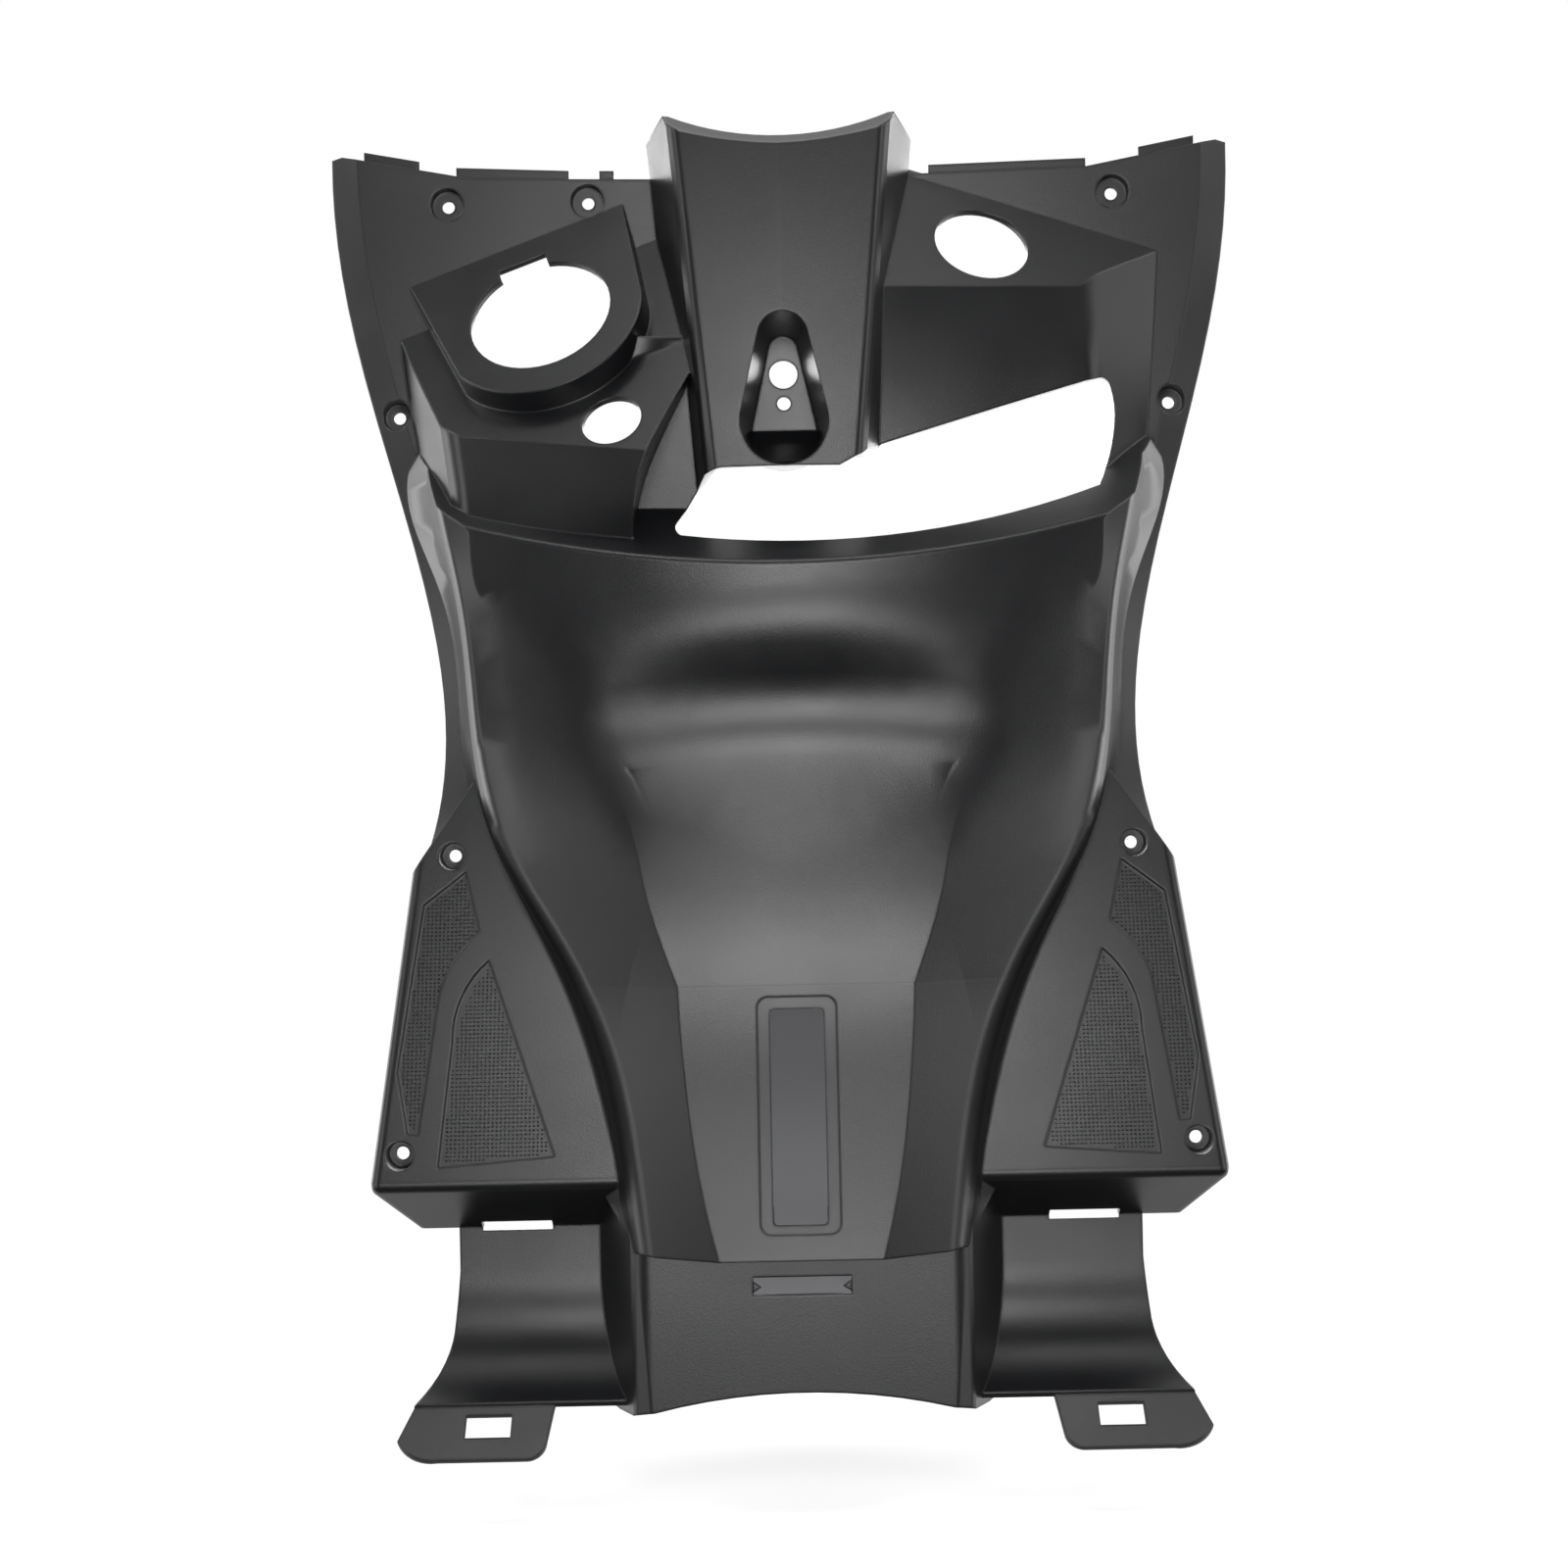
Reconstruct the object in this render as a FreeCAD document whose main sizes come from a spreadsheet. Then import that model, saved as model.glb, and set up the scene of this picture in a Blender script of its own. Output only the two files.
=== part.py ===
import FreeCAD, Part
import os
import re

import Sketcher
from FreeCAD import Vector

# Scooter inner panel: one moulded shell that closes the back of the leg shield.
# Modelled lying flat: X across, Y up the panel, Z out of it toward the rider.
# The finished shell is then stood upright, with the key bore at the origin.

doc = FreeCAD.newDocument("inner_panel")
dims = doc.addObject("Spreadsheet::Sheet", "dims")

SIZES = [
    # moulded wall and the rear edge the shell is trimmed to
    ("wall", 2.8),
    ("back_top", -24),
    ("back_waist", -19),
    ("back_crease", 4),
    ("back_foot", 52),
    ("back_sole", 34),
    # shield: rim half width and height at five stations up the panel
    ("top_y", 318), ("top_rim", 221), ("top_rim_z", -15),
    ("high_y", 235), ("high_rim", 213.5), ("high_rim_z", -13),
    ("mid_y", 150), ("mid_rim", 192), ("mid_rim_z", -12),
    ("waist_y", 55), ("waist_rim", 171), ("waist_rim_z", -8),
    ("low_y", -50), ("low_rim", 184), ("low_rim_z", 20),
    ("low_field_z", 27),
    ("rim_strip", 15),
    ("edge_corner_y", 313), ("edge_step_y", 309.5), ("edge_dip_x", 150), ("edge_dip_y", 299),
    ("edge_root_y", 295.5), ("tongue_rise", 4.5),
    # tunnel sides: base, shoulder and crest at nine stations down the panel
    ("cove_share", 0.4), ("lip_ease", 3), ("knee_ease", 4), ("brow_ease", 5), ("apex_ease", 6),
    ("shin_ease", 8), ("calf_ease", 9), ("ankle_ease", 9), ("heel_ease", 9), ("end_ease", 8),
    ("lip_station", 170), ("lip_base", 179), ("lip_shoulder", 161), ("lip_shoulder_z", 51), ("lip_crest", 154),
    ("knee_station", 100), ("knee_base", 171), ("knee_shoulder", 157), ("knee_shoulder_z", 47),
    ("knee_crest", 138),
    ("brow_station", 55), ("brow_base", 163), ("brow_shoulder", 152), ("brow_shoulder_z", 42),
    ("brow_crest", 96),
    ("apex_station", 5), ("apex_base", 161), ("apex_shoulder", 148), ("apex_shoulder_z", 35),
    ("apex_crest", 97),
    ("shin_station", -45), ("shin_base", 141), ("shin_shoulder", 128), ("shin_shoulder_z", 54),
    ("shin_crest", 110),
    ("calf_station", -90), ("calf_base", 115), ("calf_shoulder", 101), ("calf_shoulder_z", 73),
    ("calf_crest", 123),
    ("ankle_station", -130), ("ankle_base", 101), ("ankle_shoulder", 86), ("ankle_shoulder_z", 85),
    ("ankle_crest", 130),
    ("heel_station", -172), ("heel_base", 94), ("heel_shoulder", 78), ("heel_shoulder_z", 94),
    ("heel_crest", 133),
    ("end_station", -216), ("end_base", 88), ("end_shoulder", 72), ("end_shoulder_z", 100),
    ("end_crest", 134),
    # tunnel front line on the centre plane and near the ridges
    ("lip_y", 101.5), ("lip_z", 75), ("lip_rise", 34), ("lip_fall", 36), ("lip_round", 1.6),
    ("lip_run", 60), ("lip_drop", 74),
    ("brow_y", 70.6), ("brow_z", 77), ("brow_round", 8), ("brow_sag", 36), ("brow_fall", 44),
    ("scoop_y", 39), ("scoop_z", 55), ("scoop_round", 26), ("scoop_sag", 34), ("scoop_fall", 6),
    ("bend_y", -90), ("bend_z", 96.5),
    ("rim_y", -209.5), ("rim_z", 118), ("rim_half", 75),
    ("flank_x", 97), ("flank_y", -178),
    ("side_x", 190),
    # steering column cover
    ("column_top_y", 314), ("column_foot_y", 122),
    ("column_top_base", 64.7), ("column_top_face", 51.7), ("column_top_z", 59),
    ("column_foot_base", 47), ("column_foot_face", 34), ("column_foot_z", 73),
    ("column_crest", 2.5), ("column_arch_y", 302), ("column_arch_r", 117),
    ("column_brim_y", 297), ("column_brim_r", 260), ("column_brim_lean", 35),
    # web between the left bay and the column
    ("web_low_y", 104), ("web_low_z", 38), ("web_high_y", 212), ("web_high_z", 43),
    # left bay
    ("left_foot_y", 95), ("left_foot_base", 164), ("left_foot_ridge", 154),
    ("left_foot_ridge_z", 44), ("left_foot_inner", 66), ("left_foot_inner_z", 44),
    ("left_low_y", 156), ("left_low_base", 178), ("left_low_ridge", 158),
    ("left_low_ridge_z", 44), ("left_low_inner", 62), ("left_low_inner_z", 77),
    ("left_mid_y", 205), ("left_mid_base", 186), ("left_mid_ridge", 164),
    ("left_mid_ridge_z", 46), ("left_mid_inner", 37), ("left_mid_inner_z", 80),
    ("left_top_y", 285), ("left_top_base", 188), ("left_top_ridge", 164),
    ("left_top_ridge_z", 46), ("left_top_inner", 37), ("left_top_inner_z", 80),
    # right bay
    ("right_foot_y", 95), ("right_foot_base", 164), ("right_foot_ridge", 150),
    ("right_foot_ridge_z", 34), ("right_foot_inner", 30), ("right_foot_inner_z", 26),
    ("right_low_y", 165), ("right_low_base", 179), ("right_low_ridge", 152),
    ("right_low_ridge_z", 25), ("right_low_inner", 30), ("right_low_inner_z", 34),
    ("right_mid_y", 235), ("right_mid_base", 186), ("right_mid_ridge", 150),
    ("right_mid_ridge_z", 22), ("right_mid_inner", 30), ("right_mid_inner_z", 52),
    ("right_top_y", 300), ("right_top_base", 188), ("right_top_ridge", 150),
    ("right_top_ridge_z", 22), ("right_top_inner", 30), ("right_top_inner_z", 52),
    # trays: planes tilted up and outward, each named by its opening
    ("tray_tilt", 36),
    ("filler_x", -115), ("filler_y", 226), ("filler_z", 30), ("filler_yaw", 20),
    ("filler_r", 34.5), ("filler_rim_r", 50), ("filler_notch", 12), ("filler_notch_depth", 5),
    ("tray_step", 13),
    ("cap_u", 13.83), ("cap_v", -70.65), ("cap_r", 14.2),
    ("right_tray_x", 96.5), ("right_tray_y", 257.5), ("right_tray_z", 18.6),
    ("right_tray_yaw", -18), ("right_tray_r", 23),
    # key recess
    ("key_y", 194.8), ("key_r", 6.7), ("key_floor_z", 30),
    ("key_small_y", 181), ("key_small_r", 3.2),
    ("key_upper_y", 206), ("key_upper_r", 7), ("key_lower_y", 167), ("key_lower_r", 15.5),
    ("key_draft", 7), ("key_ledge_y", 168), ("key_ledge_tilt", 50),
    # foot platforms
    ("foot_tilt", 18), ("foot_apex_x", 151), ("foot_apex_y", 8), ("foot_apex_z", 14),
    ("foot_crease_x", 182), ("foot_crease_y", -39),
    ("foot_corner_x", 197), ("foot_corner_y", -182), ("foot_inner_x", 60), ("pad_depth", 1.2),
    ("sole_tilt", 56), ("sole_y", -205.5), ("sole_z", 40), ("sole_corner_x", 180),
    # apron below the platforms
    ("apron_top_y", -199), ("cove_y", -226), ("cove_z", 40), ("cove_r", 56.5), ("cove_turn", 70),
    ("apron_top_half", 161), ("apron_mid_half", 163), ("apron_mid_y", -250), ("apron_end_half", 178),
    ("box_top_y", -189.5), ("box_end_y", -286), ("box_z", 94), ("box_half", 74.5), ("box_root", 97),
    ("arch_y", -273), ("arch_r", 286),
    ("lip_tilt", 48), ("tab_inner", 113.5), ("tab_outer", 177), ("tab_flare", 7), ("tab_length", 27), ("tab_step", 2),
    ("tab_slot_x", 143.5), ("tab_slot_half", 10.3), ("tab_slot_from", 4), ("tab_slot_to", 16),
    # openings
    ("plate_frame_half", 17.8), ("plate_frame_top", -95), ("plate_frame_foot", -198.5),
    ("plate_frame_depth", 1.4), ("plate_half", 12), ("plate_top", -100.5), ("plate_foot", -194.5),
    ("clip_half", 22), ("clip_y", -225), ("clip_high", 8),
    ("sole_slot_x", 133.5), ("sole_slot_half", 16.5), ("sole_slot_high", 5),
    # glove box opening
    ("door_left", -51), ("door_foot_y", 116.5), ("door_foot_r", 390), ("door_right", 159.5),
    ("door_corner_x", 149), ("door_corner_y", 139), ("door_top_y", 192), ("door_shelf_x", 46),
    ("door_shelf_y", 160.6), ("door_column_x", 25), ("door_column_y", 145.8),
    # soft edges
    ("column_ease", 5), ("bay_ease", 7), ("box_ease", 7), ("foot_round", 5),
    # screw wells
    ("well_hole_r", 3), ("well_floor", 2.4),
    ("top_screw_x", 162.6), ("top_screw_y", 286.5), ("top_well_r", 8), ("top_well_z", -6),
    ("inner_screw_x", -94), ("inner_screw_y", 287),
    ("side_screw_x", 189.8), ("side_screw_y", 184.5), ("side_well_r", 7.2), ("side_well_z", -13),
    ("upper_foot_x", 162.8), ("upper_foot_y", -31.3), ("foot_well_r", 6.4), ("upper_foot_z", 15),
    ("lower_foot_x", 183.5), ("lower_foot_y", -167), ("lower_foot_z", 60),
]
for row, (alias, value) in enumerate(SIZES, 1):
    dims.set(f"A{row}", alias)
    dims.set(f"B{row}", str(value))
    dims.setAlias(f"B{row}", alias)
doc.recompute()

ALIASES = {alias for alias, value in SIZES}
WORD = re.compile(r"[a-z][a-z_]*")


def bound(expression):
    return WORD.sub(lambda m: f"dims.{m.group(0)}" if m.group(0) in ALIASES else m.group(0), str(expression))


def size(expression):
    return float(dims.evalExpression(str(expression)))


# Where a sketch lies: across the panel, along it, flat on it, or on a tilted plane.
def seat(x, y, z, yaw, roll):
    spot = f"create(<<vector>>; {bound(x)}; {bound(y)}; {bound(z)})"
    turn = f"create(<<rotation>>; {bound(yaw)}; 0; {bound(roll)})"
    return f"create(<<placement>>; {spot}; {turn})"


def across(y):
    return seat(0, y, 0, 0, 90)


def along(x):
    return seat(x, 0, 0, 90, 90)


def flat(z):
    return seat(0, 0, z, 0, 0)


# A closed outline; a third value on a point is the radius of the arc that leaves it,
# positive where the arc turns left and negative where it turns right.
def outline(name, points, placement):
    sketch = doc.addObject("Sketcher::SketchObject", name)
    sketch.setExpression("Placement", placement)
    spots = [Vector(size(point[0]), size(point[1]), 0) for point in points]
    count = len(points)
    first, last = [], []
    for index, point in enumerate(points):
        start, end = spots[index], spots[(index + 1) % count]
        if len(point) == 3:
            radius = size(point[2])
            chord = end - start
            side = Vector(-chord.y, chord.x, 0).normalize()
            reach = max(radius ** 2 - chord.Length ** 2 / 4, 0) ** 0.5
            center = (start + end) / 2 + side * (reach if radius > 0 else -reach)
            circle = Part.Circle(center, Vector(0, 0, 1), abs(radius))
            low, high = (start, end) if radius > 0 else (end, start)
            sketch.addGeometry(Part.ArcOfCircle(circle, circle.parameter(low), circle.parameter(high)))
        else:
            sketch.addGeometry(Part.LineSegment(start, end))
        flipped = len(point) == 3 and size(point[2]) < 0
        first.append(2 if flipped else 1)
        last.append(1 if flipped else 2)
    for index in range(count):
        after = (index + 1) % count
        sketch.addConstraint(Sketcher.Constraint("Coincident", index, last[index], after, first[after]))
    for index, point in enumerate(points):
        for kind, value in (("DistanceX", point[0]), ("DistanceY", point[1])):
            held = sketch.addConstraint(Sketcher.Constraint(kind, index, first[index], size(value)))
            sketch.setExpression(f"Constraints[{held}]", bound(value))
        if len(point) == 3:
            held = sketch.addConstraint(Sketcher.Constraint("Radius", index, abs(size(point[2]))))
            sketch.setExpression(f"Constraints[{held}]", bound(f"abs({point[2]})"))
    return sketch


def disc(name, x, y, radius, placement):
    sketch = doc.addObject("Sketcher::SketchObject", name)
    sketch.setExpression("Placement", placement)
    sketch.addGeometry(Part.Circle(Vector(size(x), size(y), 0), Vector(0, 0, 1), size(radius)))
    for kind, value in (("DistanceX", x), ("DistanceY", y)):
        held = sketch.addConstraint(Sketcher.Constraint(kind, 0, 3, size(value)))
        sketch.setExpression(f"Constraints[{held}]", bound(value))
    held = sketch.addConstraint(Sketcher.Constraint("Radius", 0, size(radius)))
    sketch.setExpression(f"Constraints[{held}]", bound(radius))
    return sketch


def loft(name, sections, ruled=False):
    solid = doc.addObject("Part::Loft", name)
    solid.Sections = sections
    solid.Solid = True
    solid.Ruled = ruled
    return solid


def prism(name, sketch, ahead, behind=0, draft=0):
    solid = doc.addObject("Part::Extrusion", name)
    solid.Base = sketch
    solid.DirMode = "Normal"
    solid.Solid = True
    solid.setExpression("LengthFwd", bound(ahead))
    solid.setExpression("LengthRev", bound(behind))
    solid.setExpression("TaperAngle", bound(draft))
    return solid


def fuse(name, solids):
    joined = doc.addObject("Part::MultiFuse", name)
    joined.Shapes = solids
    return joined


def meet(name, one, other):
    shared = doc.addObject("Part::Common", name)
    shared.Base = one
    shared.Tool = other
    return shared


def cut(name, base, tool):
    left = doc.addObject("Part::Cut", name)
    left.Base = base
    left.Tool = tool
    return left


def mirrored(name, source):
    twin = doc.addObject("Part::Mirroring", name)
    twin.Source = source
    twin.Normal = Vector(1, 0, 0)
    return twin


# Rounds the edges of a solid that a test picks out, read after the solid is made.
def rounded(name, solid, picks):
    doc.recompute()
    chosen = []
    for number, edge in enumerate(solid.Shape.Edges, 1):
        for test, near, far in picks:
            if test(edge):
                chosen.append((number, size(near), size(far)))
                break
    fillet = doc.addObject("Part::Fillet", name)
    fillet.Base = solid
    fillet.Edges = chosen
    doc.recompute()
    return fillet


def middle(edge):
    return edge.valueAt((edge.FirstParameter + edge.LastParameter) / 2)


def low_edge(edge):
    return edge.BoundBox.YMax < size("foot_corner_y") - 15


# Everything ahead of a tilted plane, for trimming a form to that plane.
def ahead_of(name, x, y, z, yaw, roll):
    reach = 400
    corners = [(-reach, -reach), (reach, -reach), (reach, reach), (-reach, reach)]
    return prism(name, outline(f"{name}_plane", corners, seat(x, y, z, yaw, roll)), 300)


# Each form is drawn twice, full size and smaller by the wall; the shell lies between.
def shield(kind, inset):
    sections = []
    for station in ("top", "high", "mid", "waist", "low"):
        rim, rim_z = f"{station}_rim - {inset}", f"{station}_rim_z - {inset} / 2"
        field = f"low_field_z - {inset}" if station == "low" else f"0 - {inset}"
        crease = f"{station}_rim - rim_strip"
        points = [
            (f"-({rim})", -60), (f"{rim}", -60), (rim, rim_z), (crease, field),
            (f"-({crease})", field), (f"-({rim})", rim_z),
        ]
        sections.append(outline(f"shield_{kind}_{station}", points, across(f"{station}_y")))
    return loft(f"shield_{kind}", sections)


def tunnel(kind, inset):
    sides = []
    for station in ("lip", "knee", "brow", "apex", "shin", "calf", "ankle", "heel", "end"):
        base, shoulder = f"{station}_base - {inset}", f"{station}_shoulder - {inset} * 0.7"
        height, crest = f"{station}_shoulder_z - {inset} * 0.9", f"{station}_crest - {inset} * 1.1"
        foot = "-2" if station in ("lip", "knee", "brow") else f"{station}_shoulder_z - 34"
        wall_line = [
            (base, foot),
            (f"{shoulder} + ({base} - ({shoulder})) * cove_share", f"{foot} + ({height} - ({foot})) * 0.35"),
            (f"{shoulder} + {station}_ease * 0.25", f"{height} - {station}_ease * 0.95"),
            (f"{shoulder} - {station}_ease * 0.9", f"{height} + {station}_ease * 0.4"),
        ]
        if kind == "cavity":
            wall_line[2:] = [(f"{shoulder} - {station}_ease * 0.45", f"{height} - {station}_ease * 0.35")]
        other_side = [(f"-({x})", z) for x, z in reversed(wall_line)]
        points = [(f"-({base})", -60), (base, -60)] + wall_line + [(0, crest)] + other_side
        sides.append(outline(f"tunnel_{kind}_{station}", points, across(f"{station}_station")))
    flanks = loft(f"tunnel_flanks_{kind}", sides)
    fronts = []
    for side, spread, x in (("left", 1, "-side_x"), ("centre", 0, "0"), ("right", 1, "side_x")):
        lip_y, lip_z = f"lip_y + lip_rise * {spread} - {inset}", f"lip_z - lip_fall * {spread} - {inset}"
        brow_y = f"brow_y - brow_sag * {spread} + {inset} * 0.3"
        brow_z = f"brow_z - brow_fall * {spread} - {inset}"
        scoop_y, scoop_z = f"scoop_y - scoop_sag * {spread}", f"scoop_z - scoop_fall * {spread} - {inset}"
        points = [
            ("rim_y - 8", -60), (f"{lip_y} + lip_run", -60), (f"{lip_y} + lip_run", f"{lip_z} - lip_drop"),
            (f"{lip_y} + lip_round", f"{lip_z} - lip_round"), (f"{lip_y} - lip_round", f"{lip_z} + lip_round * 0.1"),
            (f"{brow_y} + brow_round", f"{brow_z} - brow_round * 0.1"),
            (f"{brow_y} - brow_round * 0.8", f"{brow_z} - brow_round * 0.55"),
            (f"{scoop_y} + scoop_round * 0.5", f"{scoop_z} + scoop_round * 0.365"),
            (f"{scoop_y} - scoop_round * 0.1", f"{scoop_z} + scoop_round * 0.1"),
            (f"{scoop_y} - scoop_round", f"{scoop_z} + scoop_round * 0.25"),
            ("bend_y", f"bend_z - {inset}"), ("rim_y - 8", f"rim_z - {inset}"),
        ]
        if kind == "cavity":
            points[3:10] = [(lip_y, lip_z), (brow_y, f"{brow_z} - brow_round * 0.3"), (scoop_y, scoop_z)]
        fronts.append(outline(f"tunnel_front_{kind}_{side}", points, along(x)))
    front = loft(f"tunnel_front_{kind}", fronts)
    plan = outline(f"tunnel_plan_{kind}", [
        (f"-rim_half + {inset}", f"rim_y + {inset}"), (f"rim_half - {inset}", f"rim_y + {inset}"),
        (f"flank_x - {inset}", f"flank_y + {inset} * 0.3"), ("side_x + 10", "flank_y + 20"),
        ("side_x + 10", 200), ("-side_x - 10", 200), ("-side_x - 10", "flank_y + 20"),
        (f"-flank_x + {inset}", f"flank_y + {inset} * 0.3"),
    ], flat(-60))
    body = meet(f"tunnel_body_{kind}", flanks, front)
    return meet(f"tunnel_{kind}", body, prism(f"tunnel_reach_{kind}", plan, 260))


def bay(side, sign, kind, inset):
    sections = []
    for station in ("foot", "low", "mid", "top"):
        stem = f"{side}_{station}"
        base, ridge, inner = (f"({stem}_{part} - {inset} * {share})" for part, share in (
            ("base", 1), ("ridge", 0.5), ("inner", -1)))
        ridge_z, inner_z = f"{stem}_ridge_z - {inset}", f"{stem}_inner_z - {inset}"
        points = [
            (inner, -60), (base, -60), (base, -2), (f"{ridge} + bay_ease * 0.35", f"{ridge_z} - bay_ease * 0.8"),
            (f"{ridge} - bay_ease", f"{ridge_z} + bay_ease * 0.2"), (inner, inner_z),
        ]
        if kind == "cavity":
            points[3:5] = [(f"{ridge} - bay_ease * 0.45", f"{ridge_z} - bay_ease * 0.4")]
        points = [(f"{sign} * ({x})", z) for x, z in points]
        sections.append(outline(f"{stem}_{kind}", points, across(f"{stem}_y")))
    return loft(f"{side}_bay_{kind}", sections)


def filler_tray(kind, inset):
    radius = f"filler_rim_r - {inset}"
    points = [
        (f"-57 + {inset}", 62), (f"-46 + {inset}", -20, radius), (f"49 - {inset}", -10), (f"57 - {inset}", 62),
    ]
    place = seat("filler_x", "filler_y", f"filler_z - {inset} / cos(tray_tilt)", "filler_yaw", "-tray_tilt")
    return prism(f"filler_tray_{kind}", outline(f"filler_tray_{kind}_plan", points, place), 0, 110)


def column(kind, inset):
    sections = []
    for station in ("top", "foot"):
        base, face = f"column_{station}_base - {inset}", f"column_{station}_face - {inset}"
        height = f"column_{station}_z - {inset}"
        wall_line = [
            (base, 0), (f"{face} + column_ease * 0.22", f"{height} - column_ease"), (f"{face} - column_ease", height),
        ]
        if kind == "cavity":
            wall_line[1:] = [(f"{face} - column_ease * 0.3", f"{height} - column_ease * 0.3")]
        other_side = [(f"-({x})", z) for x, z in reversed(wall_line)]
        points = [(f"-({base})", -60), (base, -60)] + wall_line
        points += [(0, f"{height} + column_crest")] + other_side
        sections.append(outline(f"column_{kind}_{station}", points, across(f"column_{station}_y")))
    body = loft(f"column_body_{kind}", sections, True)
    arch = disc(f"column_arch_{kind}", 0, "column_arch_y + column_arch_r", f"column_arch_r + {inset}", flat(-60))
    arched = cut(f"column_arched_{kind}", body, prism(f"column_arch_cut_{kind}", arch, 200))
    brim_seat = seat(0, "column_brim_y", "column_top_z + column_crest", 0, "column_brim_lean")
    brim = disc(f"column_brim_{kind}", 0, "column_brim_r", f"column_brim_r + {inset}", brim_seat)
    return cut(f"column_{kind}", arched, prism(f"column_brim_cut_{kind}", brim, 60, 60))


# The web fills the pocket between the left bay and the column.
def web(kind, inset):
    sections = []
    for end in ("low", "high"):
        top = f"web_{end}_z - {inset}"
        points = [(-80, -60), (-20, -60), (-20, top), (-80, top)]
        sections.append(outline(f"web_{kind}_{end}", points, across(f"web_{end}_y")))
    return loft(f"web_{kind}", sections, True)


def platform(kind, inset):
    plan = outline(f"foot_{kind}_plan", [
        ("foot_inner_x", "foot_apex_y + 6"), (f"foot_apex_x - {inset}", f"foot_apex_y - {inset} * 0.4"),
        (f"foot_crease_x - {inset}", "foot_crease_y"), (f"foot_corner_x - {inset}", "foot_corner_y"),
        (f"sole_corner_x - {inset}", f"sole_y - 0.5 + {inset}"), ("foot_inner_x", f"sole_y - 0.5 + {inset}"),
    ][::-1], flat(-60))
    block = prism(f"foot_{kind}_block", plan, 220)
    top = ahead_of(f"foot_{kind}_top", 0, "foot_apex_y", f"foot_apex_z - {inset} / cos(foot_tilt)", 0, "-foot_tilt")
    sole = ahead_of(f"foot_{kind}_sole", 0, f"sole_y + {inset} * sin(sole_tilt)",
                    f"sole_z - {inset} * cos(sole_tilt)", 0, "sole_tilt")
    body = cut(f"foot_{kind}", cut(f"foot_{kind}_level", block, top), sole)
    if kind == "cavity":
        return body
    return rounded("foot_platform", body, [
        (lambda edge: middle(edge).y < size("foot_crease_y") - 20 and middle(edge).x > 100
         and edge.BoundBox.ZMin > 20 and not low_edge(edge), "foot_round", "foot_round"),
    ])


forms = {"outer": [], "cavity": []}
for kind, inset in (("outer", "0"), ("cavity", "wall")):
    tray_drop = f"filler_z - (tray_step + {inset}) / cos(tray_tilt)"
    above_low = ahead_of(f"above_low_tray_{kind}", "filler_x", "filler_y", tray_drop, "filler_yaw", "-tray_tilt")
    left_bay = cut(f"left_{kind}", bay("left", -1, kind, inset), above_low)
    tray_z = f"right_tray_z - {inset} / cos(tray_tilt)"
    above_right = ahead_of(f"above_right_{kind}", "right_tray_x", "right_tray_y", tray_z,
                           "right_tray_yaw", "-tray_tilt")
    right_bay = cut(f"right_{kind}", bay("right", 1, kind, inset), above_right)
    foot = platform(kind, inset)
    forms[kind] = [
        shield(kind, inset), tunnel(kind, inset), left_bay, filler_tray(kind, inset), right_bay,
        column(kind, inset), web(kind, inset), foot, mirrored(f"foot_{kind}_twin", foot),
    ]

# The top edge of the shield steps down from its corners and dips toward the column.
top_edge = prism("top_edge", outline("top_edge_line", [
    (-250, 350), (-250, "edge_corner_y"), ("-top_rim + 6", "edge_corner_y"), ("-top_rim + 15", "edge_step_y"),
    ("-edge_dip_x", "edge_dip_y"), (0, "edge_root_y"), ("edge_dip_x", "edge_dip_y"),
    ("top_rim - 15", "edge_step_y"), ("top_rim - 6", "edge_corner_y"), (250, "edge_corner_y"), (250, 350),
], flat(-60)), 120)
forms["outer"][0] = cut("shield_edged", forms["outer"][0], top_edge)

# The shell is what lies between the forms and their cavities, trimmed to its rear edge.
solid_form = fuse("solid_form", forms["outer"])
hollow = fuse("hollow", forms["cavity"])
shell = cut("shell", solid_form, hollow)
rear = prism("rear", outline("rear_profile", [
    (345, "back_top"), ("waist_y", "back_waist"), ("low_y + 20", "back_crease"),
    ("foot_corner_y", "back_foot"), ("sole_y", "back_sole"), (-345, "back_sole"), (-345, 260), (345, 260),
][::-1], along(-260)), 520)
trimmed = meet("trimmed", shell, rear)


# Screw wells: a cup behind the face at each screw, with a floor and a clearance hole.
def post(name, x, y, z, radius, height):
    cylinder = doc.addObject("Part::Cylinder", name)
    cylinder.setExpression("Radius", bound(radius))
    cylinder.setExpression("Height", bound(height))
    cylinder.setExpression("Placement", seat(x, y, z, 0, 0))
    return cylinder


def eight_sided(name, x, y, z, radius, height):
    prismatic = doc.addObject("Part::Prism", name)
    prismatic.Polygon = 8
    prismatic.setExpression("Circumradius", bound(f"({radius}) / cos(22.5)"))
    prismatic.setExpression("Height", bound(height))
    prismatic.setExpression("Placement", seat(x, y, z, 22.5, 0))
    return prismatic


SCREWS = [
    ("top_right", "top_screw_x", "top_screw_y", "top_well_z", "top_well_r"),
    ("top_left", "-top_screw_x", "top_screw_y", "top_well_z", "top_well_r"),
    ("top_inner", "inner_screw_x", "inner_screw_y", "top_well_z", "top_well_r"),
    ("side_right", "side_screw_x", "side_screw_y", "side_well_z", "side_well_r"),
    ("side_left", "-side_screw_x", "side_screw_y", "side_well_z", "side_well_r"),
    ("upper_foot_right", "upper_foot_x", "upper_foot_y", "upper_foot_z", "foot_well_r"),
    ("upper_foot_left", "-upper_foot_x", "upper_foot_y", "upper_foot_z", "foot_well_r"),
    ("lower_foot_right", "lower_foot_x", "lower_foot_y", "lower_foot_z", "foot_well_r"),
    ("lower_foot_left", "-lower_foot_x", "lower_foot_y", "lower_foot_z", "foot_well_r"),
]
cups, wells = [], []
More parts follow.
